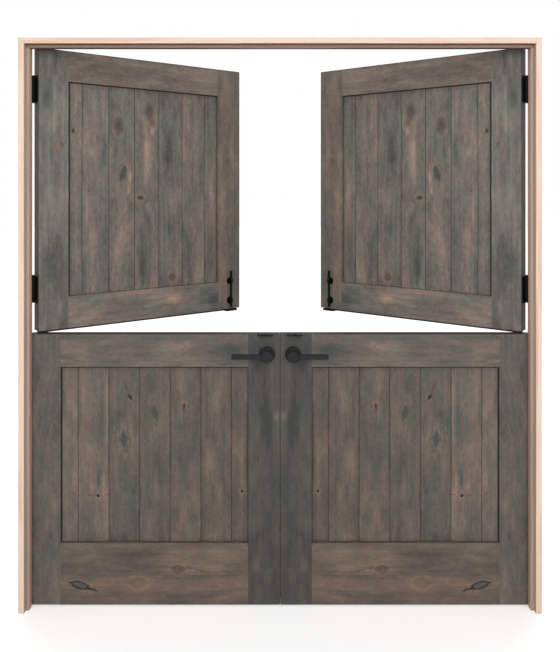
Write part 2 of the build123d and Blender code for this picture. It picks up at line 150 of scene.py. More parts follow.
# Frame faces with painted shade, darker than its front edge, and how far from a face that painted shade
# starts and ends.
frame_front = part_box("left_jamb")[0].y
stop_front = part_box("left_stop")[0].y
reveal_x = -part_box("left_jamb")[1].x
reveal_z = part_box("head_jamb")[0].z
front_fade = (0.0012, 0.0022)
stop_fade = (0.0006, 0.0014)
reveal_fade = (0.0012, 0.0004)

knot_fields = "run height across along dark red glow slant heart ring"
Knot = namedtuple("Knot", knot_fields, defaults=(0.0, 0.0, 0.0))
Patch = namedtuple("Patch", "run height across along warmth slant", defaults=(0.0,))
Look = namedtuple("Look", "upright warmth light seed seam", defaults=(None,))
Figure = namedtuple("Figure", "repeats detail roughness", defaults=(2.0, 0.5))
Iron = namedtuple("Iron", "dark rubbed shine")
Site = namedtuple("Site", "part level look boarded run height whole boards_along")
Marks = namedtuple("Marks", "dark red black glow shades")


def srgb(red, green, blue):
    """A colour written as it shows on a screen, from 0 to 255, in the linear values that shaders take."""

    def linear(value):
        share = value / 255
        return share / 12.92 if share <= 0.04045 else ((share + 0.055) / 1.055) ** 2.4

    return (linear(red), linear(green), linear(blue), 1.0)


class Web:
    """A material's nodes, with the few steps that the materials here are made of."""

    def __init__(self, name):
        self.material = bpy.data.materials.new(name)
        self.material.use_nodes = True
        self.tree = self.material.node_tree
        self.shader = self.tree.nodes["Principled BSDF"]

    def put(self, socket, value):
        if isinstance(value, bpy.types.NodeSocket):
            self.tree.links.new(value, socket)
        else:
            socket.default_value = value

    def add(self, kind, values, **settings):
        made = self.tree.nodes.new("ShaderNode" + kind)
        for key, value in settings.items():
            setattr(made, key, value)
        for key, value in values.items():
            self.put(made.inputs[key], value)
        return made

    def math(self, operation, *values):
        return self.add("Math", dict(enumerate(values)), operation=operation).outputs[0]

    def vector(self, operation, *values):
        return self.add("VectorMath", dict(enumerate(values)), operation=operation).outputs[0]

    def length(self, vector):
        return self.add("VectorMath", {0: vector}, operation="LENGTH").outputs["Value"]

    def scaled(self, vector, scale):
        return self.add("VectorMath", {0: vector, "Scale": scale}, operation="SCALE").outputs[0]

    def split(self, vector):
        return self.add("SeparateXYZ", {0: vector}).outputs

    def join(self, x, y, z):
        return self.add("CombineXYZ", {0: x, 1: y, 2: z}).outputs[0]

    def noise(self, place, figure):
        values = {"Vector": self.vector("MULTIPLY", place, figure.repeats), "Scale": 1.0}
        values["Detail"] = figure.detail
        values["Roughness"] = figure.roughness
        return self.add("TexNoise", values).outputs["Fac"]

    def figures(self, place, table):
        """The noises of a table, by name."""
        return {name: self.noise(place, figure) for name, figure in table.items()}

    def fade(self, value, start, end, low=0.0, high=1.0):
        values = {"Value": value, "From Min": start, "From Max": end, "To Min": low, "To Max": high}
        return self.add("MapRange", values, interpolation_type="SMOOTHSTEP").outputs[0]

    def past(self, value, face, offsets):
        """Fades in from one distance past a face to another."""
        start, end = offsets
        return self.fade(value, face + start, face + end)

    def between(self, value, low, high):
        """A 0 to 1 value laid out between two others."""
        return self.math("MULTIPLY_ADD", value, high - low, low)

    def spread(self, value, amount):
        """A 0 to 1 value turned into one that swings about zero by half the amount."""
        return self.math("MULTIPLY_ADD", value, amount, -amount / 2)

    def swings(self, figures, shares):
        """Sum of the figures that have a share, each swinging about zero by half of it."""
        return self.sum(*[self.spread(figures[name], share) for name, share in shares.items()])

    def sum(self, first, *others):
        total = first
        for other in others:
            total = self.math("ADD", total, other)
        return total

    def waves(self, turns):
        return self.math("SINE", self.math("MULTIPLY", turns, 2 * pi))

    def blend(self, share, first, second, kind="MIX"):
        values = {0: share, 6: first, 7: second}
        return self.add("Mix", values, data_type="RGBA", blend_type=kind).outputs[2]

    def tint(self, colour, light):
        return self.blend(1.0, colour, self.join(light, light, light), "MULTIPLY")

    def tones(self, share, stops, steps=False):
        ramp = self.add("ValToRGB", {0: share})
        ramp.color_ramp.interpolation = "CONSTANT" if steps else "LINEAR"
        points = ramp.color_ramp.elements
        while len(points) < len(stops):
            points.new(1.0)
        for point, (position, colour) in zip(points, stops):
            point.position = position
            point.color = colour
        return ramp.outputs[0]

    def steps(self, share, values):
        """One value for each equal step of the share."""
        stops = [(i / len(values), (v, v, v, 1.0)) for i, v in enumerate(values)]
        return self.tones(share, stops, steps=True)

    def finish(self, colour, roughness, height=None):
        self.put(self.shader.inputs["Base Color"], colour)
        self.put(self.shader.inputs["Roughness"], roughness)
        if height is not None:
            bump = self.add("Bump", {"Height": height, "Distance": 1.0, "Strength": 1.0})
            self.put(self.shader.inputs["Normal"], bump.outputs[0])
        return self.material


def rest_place(web):
    """Coordinates in the frame at rest, which a piece takes along when it moves."""
    return web.add("TexCoord", {}).outputs["Object"]


def leaf_place(web, level, side):
    """Place on a leaf: along it from its hinge axis, through it and up. The right mirrors the left."""
    angle = open_angle if level == "upper" else 0.0
    hinge = Matrix.Rotation(-angle, 3, "Z") @ Vector((-hinge_x, hinge_y, 0))
    values = {"Vector": rest_place(web), "Location": -hinge, "Rotation": (0, 0, -angle)}
    values["Scale"] = (1 if side == "left" else -1, 1, 1)
    return web.add("Mapping", values).outputs[0]


# Figure of the alder: repeats in a metre across, through and along the grain, detail and roughness.
alder_figures = {
    "cloud": Figure((11.0, 11.0, 3.4), 3.0, 0.55),
    "flame": Figure((44.0, 44.0, 13.0), 3.0),
    "mottle": Figure((80.0, 80.0, 46.0), 3.0, 0.6),
    "streak": Figure((95.0, 95.0, 2.2)),
    "line": Figure((260.0, 260.0, 5.0), 3.0),
    "fleck": Figure((330.0, 330.0, 170.0), 3.0, 0.65),
    "fibre": Figure((800.0, 800.0, 16.0)),
    "cast": Figure((26.0, 26.0, 8.0), 3.0, 0.6),
}

# How far each figure swings the stain's warmth and the wood's light.
warmth_shares = {"cloud": 0.80, "flame": 0.36, "streak": 0.19}
light_shares = {"fleck": 0.66, "fibre": 0.12, "streak": 0.16, "mottle": 0.50, "flame": 0.24, "cloud": 0.20}
line_range = (0.55, 0.70)
line_share = -0.10
rings_per_metre = 24.0
ring_waver = 11.0
ring_share = 0.03
arc_width = 0.06
arc_share = -0.14
detail = {"lower": 1.1, "upper": 1.32}
framing_detail_share = 0.82

# Steps in the noise that keep boards, the halves of a glued rail and pieces from looking alike.
board_step = (0.43, 0, 3.1)
seam_step = (0.61, 0, 1.9)
seed_step = (1.37, 0.71, 2.9)

# Sheen and relief of the wood.
wood_shine = 0.3
alder_roughness = (0.48, 0.68)
alder_fibre_relief = 0.00012
alder_streak_relief = 0.0002
knot_sink = 0.0005

# Stain tones on the alder, from cool to warm, the colours of its knots, and the colour of its dark joints
# and of the painted shade in its corners.
stain_tones = (
    (0.10, srgb(67, 67, 64)),
    (0.33, srgb(89, 86, 82)),
    (0.50, srgb(105, 96, 89)),
    (0.67, srgb(122, 108, 98)),
    (0.90, srgb(148, 123, 107)),
)
middle_tone = 0.5
cast_tones = ((0.36, (0.95, 1.045, 1.01, 1.0)), (0.64, (1.06, 0.96, 0.98, 1.0)))
knot_grey = srgb(72, 76, 73)
knot_red = srgb(72, 49, 41)
knot_black = srgb(30, 24, 22)
glow_tone = srgb(152, 121, 101)
glow_share = 0.60
joint_and_corner_shade_colour = srgb(17, 16, 15)

# Where the boards darken: at their dark joints, and with painted shade in the corners of the panel and
# under the top rail.
joint_paint = {"lower": 0.04, "upper": 0.80}
joint_reach = {"lower": 0.0015, "upper": 0.0023}
hinge_corner_shade_reach = {"lower": 0.0044, "upper": 0.0140}
hinge_corner_shade_strength = 0.95
top_corner_shade_reach = {"lower": 0.0074, "upper": 0.0048}
top_corner_shade_strength = 0.92
free_corner_shade_reach = 0.0040
free_corner_shade_strength = 0.55
bottom_corner_shade_reach = 0.0035
bottom_corner_shade_strength = 0.50
corner_shade_core_share = 0.7
rail_shade_reach = 0.024
rail_shade_core_share = 0.6
rail_shade_light = 0.90

# Where the framing darkens: painted shade along its top edge, and a dark glued seam.
top_edge_shade_light = {"lower": 0.40, "upper": 0.30}
top_edge_shade_reach = {"lower": 0.0012, "upper": 0.0045}
top_edge_shade_core_share = 1 / 3
seam_width = 0.0016
seam_core_share = 0.4
seam_light = 0.72

# Knots, in shares of their radii: where each of their zones starts and ends.
rim_figure = Figure((170, 170, 80), 3.0)
rim_ruffle_share = 0.9
halo_figure = Figure((130, 130, 36))
halo_patch_range = (0.42, 0.60)
point_share = 0.3
ringed_point_share = 0.15
knot_zone_shares = (1.15, 0.55)
heart_zone_shares = (0.90, 0.25)
ring_zone_shares = (0.36, 0.10)
halo_zone_shares = (3.4, 1.0)
shade_zone_shares = (3.0, 0.8)
shade_waves = 8.0
shade_share = 0.09
pull_zone_shares = (3.4, 0.2)
pull_share = 0.7
mark_depth = 100.0

# Pieces of a leaf: whether the grain runs up, warmth, light, place in the noise and height of a glued seam.
# The upper pieces' light is raised well above the lower ones' as painted light, making up for the lamp
# light that the open upper leaves miss.
leaf_looks = {
    "lower_hinge_stile": Look(True, -0.08, 0.98, 1),
    "lower_meeting_stile": Look(True, -0.20, 0.75, 2),
    "lower_top_rail": Look(False, 0.01, 0.97, 3),
    "lower_bottom_rail": Look(False, 0.18, 0.71, 4, 0.114),
    "lower_boards": Look(True, -0.01, 1.02, 5),
    "upper_hinge_stile": Look(True, -0.16, 1.79, 6),
    "upper_meeting_stile": Look(True, -0.02, 1.20, 7),
    "upper_top_rail": Look(False, 0.07, 1.26, 8),
    "upper_bottom_rail": Look(False, -0.01, 1.77, 9),
    "upper_boards": Look(True, -0.12, 1.57, 10),
}

# Boards, from the hinge side on: how much darker each is than the one before, and how warm each is.
board_dimming = {"lower": 0.052, "upper": 0.006}
board_warmth = {
    "lower": (0.0, 0.05, -0.01, -0.03, 0.0, 0.03, -0.01),
    "upper": (0.08, -0.02, 0.0, 0.02, -0.05, 0.06, 0.02),
}

# Knots: place on the leaf, radii across and along the grain, strengths of their marks, and slant.
leaf_knots = {
    "lower_boards": (
        Knot(0.360, 0.783, 0.0040, 0.034, 0.60, 1.0, 0.3, -0.35),
        Knot(0.367, 0.761, 0.0070, 0.013, 0.90, 0.8, 0.5, -0.60, heart=1.0),
        Knot(0.345, 0.606, 0.018, 0.036, 0.85, 0.0, 0.5, heart=0.25),
        Knot(0.460, 0.702, 0.016, 0.036, 0.80, 0.1, 0.3, -0.15, heart=0.2),
        Knot(0.566, 0.727, 0.0065, 0.018, 0.85, 1.0, 0.9, 0.10, heart=0.5),
        Knot(0.577, 0.729, 0.0050, 0.009, 0.60, 1.0, 0.4, -0.3),
        Knot(0.568, 0.640, 0.0030, 0.060, 0.35, 0.9, 0.0, -0.05),
        Knot(0.250, 0.399, 0.0075, 0.008, 0.95, 0.7, 0.9, heart=1.0),
        Knot(0.222, 0.401, 0.018, 0.0040, 0.45, 0.9, 0.0),
        Knot(0.286, 0.404, 0.018, 0.0040, 0.40, 0.9, 0.0),
        Knot(0.779, 0.416, 0.0060, 0.007, 0.95, 0.8, 0.5, heart=1.0),
    ),
    "lower_bottom_rail": (
        Knot(0.187, 0.077, 0.012, 0.033, 0.80, 0.05, 0.7, -0.30, ring=0.85),
        Knot(0.234, 0.062, 0.004, 0.026, 0.80, 0.8, 0.3, -0.30, heart=0.5),
        Knot(0.546, 0.139, 0.011, 0.021, 0.40, 1.0, 0.9, ring=0.35),
        Knot(0.585, 0.141, 0.006, 0.016, 0.40, 1.0, 0.4, -0.20),
        Knot(0.630, 0.130, 0.0022, 0.040, 0.55, 0.7, 0.0, -0.30),
        Knot(0.397, 0.087, 0.016, 0.026, 0.15, 0.6, 0.5, ring=0.22),
    ),
    "lower_meeting_stile": (
        Knot(0.904, 0.740, 0.011, 0.040, 0.55, 0.1, 0.1, 0.15),
        Knot(0.866, 0.139, 0.012, 0.020, 0.5, 0.1, 0.2),
        Knot(0.902, 0.262, 0.010, 0.022, 0.4, 0.1, 0.2),
    ),
    "lower_hinge_stile": (
        Knot(0.096, 0.630, 0.020, 0.045, 0.5, 0.3, 0.2),
    ),
    "upper_hinge_stile": (
        Knot(0.088, 1.690, 0.012, 0.014, 0.3, 0.4, 1.0),
    ),
    "upper_boards": (
        Knot(0.332, 1.776, 0.016, 0.028, 0.60, 0.2, 0.5, heart=0.3, ring=0.30),
        Knot(0.470, 1.838, 0.019, 0.034, 0.65, 0.2, 0.5, heart=0.2, ring=0.30),
        Knot(0.478, 1.793, 0.010, 0.016, 0.45, 1.0, 1.0, 0.30),
        Knot(0.350, 1.585, 0.018, 0.040, 0.80, 0.1, 0.8, 0.25, heart=0.2),
        Knot(0.428, 1.490, 0.022, 0.011, 0.85, 0.1, 0.8, heart=0.4),
        Knot(0.578, 1.160, 0.016, 0.014, 0.50, 1.0, 1.0, ring=0.30),
        Knot(0.140, 1.745, 0.008, 0.014, 0.70, 0.9, 0.8, heart=0.6),
    ),
    "upper_meeting_stile": (
        Knot(0.850, 1.650, 0.010, 0.022, 0.5, 0.4, 0.5),
    ),
}

# Patches of warmer or cooler stain: place on the leaf, radii across and along the grain, warmth and slant.
leaf_patches = {
    "lower_boards": (
        Patch(0.265, 0.710, 0.020, 0.260, -0.30),
        Patch(0.215, 0.600, 0.045, 0.350, 0.16),
        Patch(0.226, 0.440, 0.014, 0.080, 0.30),
        Patch(0.270, 0.440, 0.013, 0.080, 0.30),
        Patch(0.252, 0.455, 0.016, 0.090, -0.40),
        Patch(0.325, 0.695, 0.050, 0.120, -0.22),
        Patch(0.340, 0.250, 0.070, 0.060, -0.22),
        Patch(0.455, 0.820, 0.060, 0.140, -0.16),
        Patch(0.455, 0.520, 0.060, 0.090, -0.22),
        Patch(0.555, 0.800, 0.030, 0.110, 0.36),
        Patch(0.605, 0.325, 0.050, 0.060, -0.24),
        Patch(0.695, 0.790, 0.045, 0.200, 0.36, 0.20),
        Patch(0.655, 0.500, 0.040, 0.230, 0.30, 0.12),
        Patch(0.665, 0.255, 0.040, 0.080, 0.24),
        Patch(0.780, 0.500, 0.016, 0.320, 0.34),
        Patch(0.752, 0.760, 0.020, 0.160, -0.22),
    ),
    "lower_top_rail": (
        Patch(0.190, 0.938, 0.060, 0.150, 0.30),
        Patch(0.400, 0.950, 0.080, 0.200, -0.18),
        Patch(0.550, 0.945, 0.060, 0.150, 0.38),
        Patch(0.745, 0.930, 0.090, 0.110, -0.36),
    ),
    "lower_bottom_rail": (
        Patch(0.530, 0.180, 0.050, 0.090, 0.26),
        Patch(0.250, 0.085, 0.030, 0.070, 0.30),
        Patch(0.600, 0.070, 0.040, 0.280, 0.20),
        Patch(0.360, 0.190, 0.040, 0.160, -0.12),
    ),
    "lower_hinge_stile": (
        Patch(0.030, 0.860, 0.045, 0.170, -0.26),
        Patch(0.050, 0.470, 0.025, 0.190, -0.20),
        Patch(0.095, 0.370, 0.025, 0.090, 0.24),
        Patch(0.030, 0.180, 0.060, 0.260, 0.10),
    ),
    "lower_meeting_stile": (
        Patch(0.825, 0.600, 0.030, 0.220, 0.16),
        Patch(0.870, 0.640, 0.035, 0.240, -0.22),
        Patch(0.905, 0.690, 0.024, 0.045, 0.42),
        Patch(0.830, 0.140, 0.035, 0.060, 0.30),
        Patch(0.840, 0.880, 0.040, 0.060, -0.20),
    ),
    "upper_boards": (
        Patch(0.215, 1.250, 0.040, 0.330, 0.30),
        Patch(0.265, 1.660, 0.030, 0.220, -0.26),
        Patch(0.330, 1.330, 0.045, 0.260, 0.20),
        Patch(0.460, 1.650, 0.040, 0.200, 0.34),
        Patch(0.440, 1.230, 0.060, 0.190, -0.36),
        Patch(0.565, 1.330, 0.050, 0.170, -0.22),
        Patch(0.560, 1.700, 0.050, 0.200, -0.20),
        Patch(0.690, 1.620, 0.030, 0.330, 0.34),
        Patch(0.645, 1.320, 0.030, 0.150, -0.20),
        Patch(0.482, 1.765, 0.018, 0.036, 0.50),
        Patch(0.382, 1.570, 0.016, 0.055, 0.50),
        Patch(0.374, 1.518, 0.016, 0.030, 0.45),
        Patch(0.460, 1.452, 0.022, 0.036, 0.36),
        Patch(0.150, 1.850, 0.020, 0.130, 0.34),
    ),
    "upper_hinge_stile": (
        Patch(0.040, 1.900, 0.060, 0.160, -0.24),
        Patch(0.070, 1.300, 0.050, 0.240, -0.20),
        Patch(0.060, 1.770, 0.030, 0.090, 0.20),
        Patch(0.080, 1.080, 0.030, 0.090, 0.18),
    ),
    "upper_bottom_rail": (
        Patch(0.570, 1.070, 0.050, 0.120, 0.36),
        Patch(0.780, 1.050, 0.080, 0.120, -0.42),
        Patch(0.200, 1.050, 0.070, 0.120, 0.18),
    ),
    "upper_meeting_stile": (
        Patch(0.825, 1.450, 0.030, 0.200, 0.26),
        Patch(0.900, 1.750, 0.030, 0.260, -0.20),
    ),
}


def spot(web, grain, mark, upright):
    """Place as seen from a mark's centre, in the mark's own radii across and along the grain."""
    centre = (mark.run, 0, mark.height) if upright else (mark.height, 0, mark.run)
    values = {"Vector": grain, "Location": centre, "Rotation": (0, mark.slant, 0)}
    values["Scale"] = (mark.across, mark_depth, mark.along)
    return web.add("Mapping", values, vector_type="TEXTURE").outputs[0]


def leaf_site(web, part, level, side):
    """Where a point lies on its leaf, in the grain of its piece and along the row of boards."""
    look = leaf_looks[part]
    boarded = part.endswith("boards")
    run, depth, height = web.split(leaf_place(web, level, side))
    across, along = (run, height) if look.upright else (height, run)
    whole = web.join(across, depth, along)
    boards_along = None
    if boarded:
        boards_along = web.math("MULTIPLY_ADD", run, 1 / board_face, 0.5 - leaf_middle / board_face)
    return Site(part, level, look, boarded, run, height, whole, boards_along)


def knot_reach(web, place, knot):
    """Distance from a knot's centre in its radii, by an outline that comes to a point along the grain."""
    share = ringed_point_share if knot.ring else point_share
    offsets = web.split(web.vector("ABSOLUTE", place))
    corners = web.math("MULTIPLY", web.math("ADD", offsets[0], offsets[2]), share)
    return web.math("MULTIPLY_ADD", web.length(place), 1.0 - share, corners)


def knot_black_share(web, knot, rim, black):
    """Adds the black of a knot's heart and of the ring round it."""
    if knot.heart:
        black = web.math("ADD", black, web.fade(rim, *heart_zone_shares, 0.0, knot.heart))
    if knot.ring:
        from_ring = web.math("ABSOLUTE", web.math("SUBTRACT", rim, 1.0))
        black = web.math("ADD", black, web.fade(from_ring, *ring_zone_shares, 0.0, knot.ring))
    return black


def knotted(web, site):
    """Bends the grain round the knots. Gives it back with the marks that the knots leave."""
    grain = site.whole
    dark = 0.0
    red = 0.0
    black = 0.0
    glow = 0.0
    shades = 0.0
    ragged = web.spread(web.noise(grain, rim_figure), rim_ruffle_share)
    patchy = web.fade(web.noise(grain, halo_figure), *halo_patch_range)
    for knot in leaf_knots.get(site.part, ()):
        place = spot(web, grain, knot, site.look.upright)
        reach = knot_reach(web, place, knot)
        rim = web.math("ADD", reach, ragged)
        inside = web.fade(rim, *knot_zone_shares)
        dark = web.math("MULTIPLY_ADD", inside, knot.dark, dark)
        red = web.math("MULTIPLY_ADD", inside, knot.red, red)
        black = knot_black_share(web, knot, rim, black)
        halo = web.math("MULTIPLY", patchy, web.fade(reach, *halo_zone_shares, 0.0, knot.glow))
        glow = web.math("MAXIMUM", glow, halo)
        rings = web.math("SINE", web.math("MULTIPLY", rim, shade_waves))
        near = web.fade(reach, *shade_zone_shares, 0.0, shade_share)
        shades = web.math("MULTIPLY_ADD", rings, near, shades)
        pull = web.scaled(place, web.fade(reach, *pull_zone_shares))
        grain = web.vector("MULTIPLY_ADD", pull, (-pull_share * knot.across, 0, 0), grain)
    return grain, Marks(dark, red, black, glow, shades)


def set_apart(web, site, grain):
    """Moves each board, each half of a glued rail and each piece to a place of its own in the noise."""
    if site.boarded:
        board = web.math("FLOOR", site.boards_along)
        grain = web.vector("ADD", grain, web.vector("MULTIPLY", web.join(board, board, board), board_step))
    if site.look.seam is not None:
        above = web.math("GREATER_THAN", site.height, site.look.seam)
        grain = web.vector("MULTIPLY_ADD", web.join(above, above, above), seam_step, grain)
    return web.vector("ADD", grain, tuple(site.look.seed * step for step in seed_step))


def stained(web, site):
    """How warm the stain is, by board and by patch, and how light the wood is."""
    warmth = site.look.warmth + middle_tone
    # On the upper leaves this light holds painted light, raised for the lamp light that they miss standing
    # open.
    light = site.look.light
    if site.boarded:
        board = web.math("FLOOR", site.boards_along)
        share = web.math("MULTIPLY_ADD", board, 1 / board_count, 0.5)
        warmth = web.steps(share, [value + warmth for value in board_warmth[site.level]])
        dimming = board_dimming[site.level]
        light = web.math("MULTIPLY_ADD", board, -dimming, light - dimming * (board_count // 2))
    for patch in leaf_patches.get(site.part, ()):
        place = spot(web, site.whole, patch, site.look.upright)
        soft = web.add("TexGradient", {0: place}, gradient_type="QUADRATIC_SPHERE").outputs["Fac"]
        warmth = web.math("MULTIPLY_ADD", soft, patch.warmth, warmth)
    return warmth, light


def figured(web, site, light, grain, figures, shades):
    """Light as the figure of the wood, its growth rings and the rings round its knots vary it."""
    across = web.math("MULTIPLY", web.split(grain)[0], rings_per_metre)
    turns = web.math("MULTIPLY_ADD", figures["cloud"], ring_waver, across)
    arcs = web.fade(web.math("PINGPONG", turns, 0.5), arc_width, 0.0)
    lines = web.fade(figures["line"], *line_range)
    vary = web.sum(web.swings(figures, light_shares), shades)
    for value, share in ((arcs, arc_share), (lines, line_share), (web.waves(turns), ring_share)):
        vary = web.math("MULTIPLY_ADD", value, share, vary)
    amount = detail[site.level] * (1.0 if site.boarded else framing_detail_share)
    return web.math("MULTIPLY", light, web.math("MULTIPLY_ADD", vary, amount, 1.0))


def shaded(web, site, light):
    """Light with a dark glued seam, and with painted shade on the boards under their rail and along the
    framing's top edge.
    """
    if site.look.seam is not None:
        off_seam = web.math("ABSOLUTE", web.math("SUBTRACT", site.height, site.look.seam))
        shade = web.fade(off_seam, seam_core_share * seam_width, seam_width, seam_light, 1.0)
        light = web.math("MULTIPLY", light, shade)
    if site.boarded:
        below = web.math("SUBTRACT", panel_top[site.level], site.height)
        core = rail_shade_core_share * rail_shade_reach
        shade = web.fade(below, core, rail_shade_reach, rail_shade_light, 1.0)
    else:
        below = web.math("SUBTRACT", leaf_top[site.level], site.height)
        reach = top_edge_shade_reach[site.level]
        shade = web.fade(below, top_edge_shade_core_share * reach, reach, top_edge_shade_light[site.level], 1.0)
    return web.math("MULTIPLY", light, shade)


def knot_colour(web, colour, marks):
    """Colour with the knots' glow, their grey or red bodies and their black hearts laid over it."""
    colour = web.blend(web.math("MULTIPLY", marks.glow, glow_share), colour, glow_tone)
    colour = web.blend(marks.dark, colour, web.blend(marks.red, knot_grey, knot_red))
    return web.blend(marks.black, colour, knot_black)


def corner_painted_shade(web, site):
    """Share of painted shade where the boards go into their groove, darkest on the hinge side and at the
    top.
    """
    level = site.level
    edges = (
        (web.math("SUBTRACT", site.run, panel_start), hinge_corner_shade_reach[level], hinge_corner_shade_strength),
        (web.math("SUBTRACT", panel_end, site.run), free_corner_shade_reach, free_corner_shade_strength),
        (web.math("SUBTRACT", panel_top[level], site.height), top_corner_shade_reach[level], top_corner_shade_strength),
        (web.math("SUBTRACT", site.height, panel_bottom[level]), bottom_corner_shade_reach, bottom_corner_shade_strength),
    )
    dark = 0.0
    for distance, reach, shade_strength in edges:
        shade = web.fade(distance, reach, corner_shade_core_share * reach, 0.0, shade_strength)
        dark = web.math("MAXIMUM", dark, shade)
    return dark


def jointed(web, site, colour):
    """Colour with the dark of the joints between the boards and the painted shade in the panel's corners.
    """
    from_joint = web.math("PINGPONG", site.boards_along, 0.5)
    joint = web.fade(from_joint, joint_reach[site.level] / board_face, 0.0, 0.0, joint_paint[site.level])
    return web.blend(web.math("MAXIMUM", joint, corner_painted_shade(web, site)), colour, joint_and_corner_shade_colour)


def alder(part, level, side):
    """Stained knotty alder for one piece of a leaf, with its grain up the piece or along it."""
    web = Web(side + "_" + part + "_alder")
    site = leaf_site(web, part, level, side)
    grain, marks = knotted(web, site)
    grain = set_apart(web, site, grain)
    figures = web.figures(grain, alder_figures)
    warmth, light = stained(web, site)
    tone = web.sum(warmth, web.swings(figures, warmth_shares))
    cast = web.tones(figures["cast"], cast_tones)
    colour = web.blend(1.0, web.tones(tone, stain_tones), cast, "MULTIPLY")
    light = shaded(web, site, figured(web, site, light, grain, figures, marks.shades))
    colour = web.tint(colour, light)
    if part in leaf_knots:
        colour = knot_colour(web, colour, marks)
    if site.boarded:
        colour = jointed(web, site, colour)
    rise = web.math("MULTIPLY", figures["streak"], alder_streak_relief)
    rise = web.math("MULTIPLY_ADD", figures["fibre"], alder_fibre_relief, rise)
    rise = web.math("MULTIPLY_ADD", marks.dark, -knot_sink, rise)
    web.shader.inputs["Specular IOR Level"].default_value = wood_shine
    return web.finish(colour, web.between(figures["streak"], *alder_roughness), rise)


# Figure of the pine, its tones on the frame's front, and the tones with painted shade on the faces inside
# the opening and on the stops.
pine_figures = {"figure": Figure((34.0, 34.0, 1.6), 3.0), "fibre": Figure((900.0, 900.0, 14.0))}
pine_tone_shares = {"figure": 0.6, "rings": 0.3, "fibre": 0.2}
pine_shade_shares = {"figure": 0.35, "rings": 0.10, "fibre": 0.12}
pine_rings_per_metre = 150.0
pine_ring_waver = 4.0
pine_roughness = (0.50, 0.64)
pine_fibre_relief = 0.0001
pine_ring_relief = 0.00006
pine_tones = ((0.25, srgb(246, 221, 202)), (0.5, srgb(241, 212, 191)), (0.75, srgb(231, 196, 172)))
reveal_painted_shade_tone = srgb(203, 173, 150)
soffit_painted_shade_tone = srgb(128, 84, 58)
stop_painted_shade_tone = srgb(183, 159, 144)
stop_edge_painted_shade_tone = srgb(190, 166, 150)
head_stop_painted_shade_tone = srgb(152, 130, 115)
head_stop_edge_painted_shade_tone = srgb(96, 68, 53)


def pine_figure(web, grain):
    """Figure, fibre and growth rings of the pine, each from 0 to 1."""
    figures = web.figures(grain, pine_figures)
    through = web.math("MULTIPLY", web.split(grain)[1], pine_rings_per_metre)
    turns = web.math("MULTIPLY_ADD", figures["figure"], pine_ring_waver, through)
    figures["rings"] = web.math("MULTIPLY_ADD", web.waves(turns), 0.5, 0.5)
    return figures


def stop_colour(web, y, lying):
    """Colour of a planted stop, with painted shade, on its front and behind that on its edge."""
    front, edge = (head_stop_painted_shade_tone, head_stop_edge_painted_shade_tone) if lying else (stop_painted_shade_tone, stop_edge_painted_shade_tone)
    return web.blend(web.past(y, stop_front, stop_fade), front, edge)


def inside_opening(web, x, y, z):
    """1 on the jambs' faces inside the opening, behind their front edge, where the painted shade goes, and
    0 elsewhere.
    """
    behind = web.past(y, frame_front, front_fade)
    beside = web.past(web.math("ABSOLUTE", x), reveal_x, reveal_fade)
    under = web.past(z, reveal_z, reveal_fade)
    return web.math("MULTIPLY", behind, web.math("MULTIPLY", beside, under))


def pine(name):
    """Clear pine for the frame: pale on its front edge, with painted shade making it darker on the faces
    inside the opening and on the stops.
    """
    web = Web(name + "_pine")
    x, y, z = web.split(rest_place(web))
    lying = name.startswith("head")
    figures = pine_figure(web, web.join(z, y, x) if lying else web.join(x, y, z))
    shade = web.sum(1.0, web.swings(figures, pine_shade_shares))
    # Stops and the faces inside the opening take tones with painted shade, the soffit darkest.
    if name.endswith("stop"):
        colour = web.tint(stop_colour(web, y, lying), shade)
    else:
        pale = web.tones(web.sum(middle_tone, web.swings(figures, pine_tone_shares)), pine_tones)
        dark = web.tint(soffit_painted_shade_tone if lying else reveal_painted_shade_tone, shade)
        colour = web.blend(inside_opening(web, x, y, z), pale, dark)
    rise = web.math("MULTIPLY", figures["rings"], pine_ring_relief)
    rise = web.math("MULTIPLY_ADD", figures["fibre"], pine_fibre_relief, rise)
    web.shader.inputs["Specular IOR Level"].default_value = wood_shine
    return web.finish(colour, web.between(figures["fibre"], *pine_roughness), rise)


# Black iron of the fittings, of the levers and of the slide bolts.
irons = {
    "black_iron": Iron(srgb(12, 13, 13), srgb(25, 26, 26), 0.35),
    "lever_iron": Iron(srgb(17, 18, 20), srgb(31, 31, 34), 0.35),
    "bolt_iron": Iron(srgb(4, 9, 3), srgb(16, 23, 14), 0.08),
}
iron_figures = {"cloud": Figure((30.0, 30.0, 30.0), 3.0), "peel": Figure((900.0, 900.0, 900.0))}
iron_shares = {"cloud": 0.9, "peel": 0.3}
iron_tone_range = (0.2, 0.8)
iron_roughness = (0.48, 0.68)
iron_metallic = 0.30
iron_relief = 0.00006

# Satin steel of the latch.
steel_figures = {"brush": Figure((1500.0, 1500.0, 40.0)), "cloud": Figure((40.0, 40.0, 40.0))}
steel_cloud_share = 0.3
steel_tones = ((0.3, srgb(150, 149, 146)), (0.7, srgb(186, 185, 182)))
steel_roughness = (0.26, 0.46)
steel_relief = 0.00003

# Rubber of the seals and pads.
rubber_figures = {"dust": Figure((60.0, 60.0, 60.0), 3.0), "grain": Figure((1200.0, 1200.0, 1200.0))}
rubber_tones = ((0.3, srgb(20, 20, 20)), (0.75, srgb(38, 37, 36)))
rubber_roughness = (0.6, 0.8)
rubber_relief = 0.00005

# Pile of the brushes.
pile_figures = {"hairs": Figure((60.0, 1500.0, 1500.0)), "clumps": Figure((30.0, 30.0, 160.0))}
pile_clump_share = 0.4
pile_tones = ((0.3, srgb(76, 75, 71)), (0.7, srgb(106, 103, 98)))
pile_roughness = (0.85, 0.95)
pile_relief = 0.0003


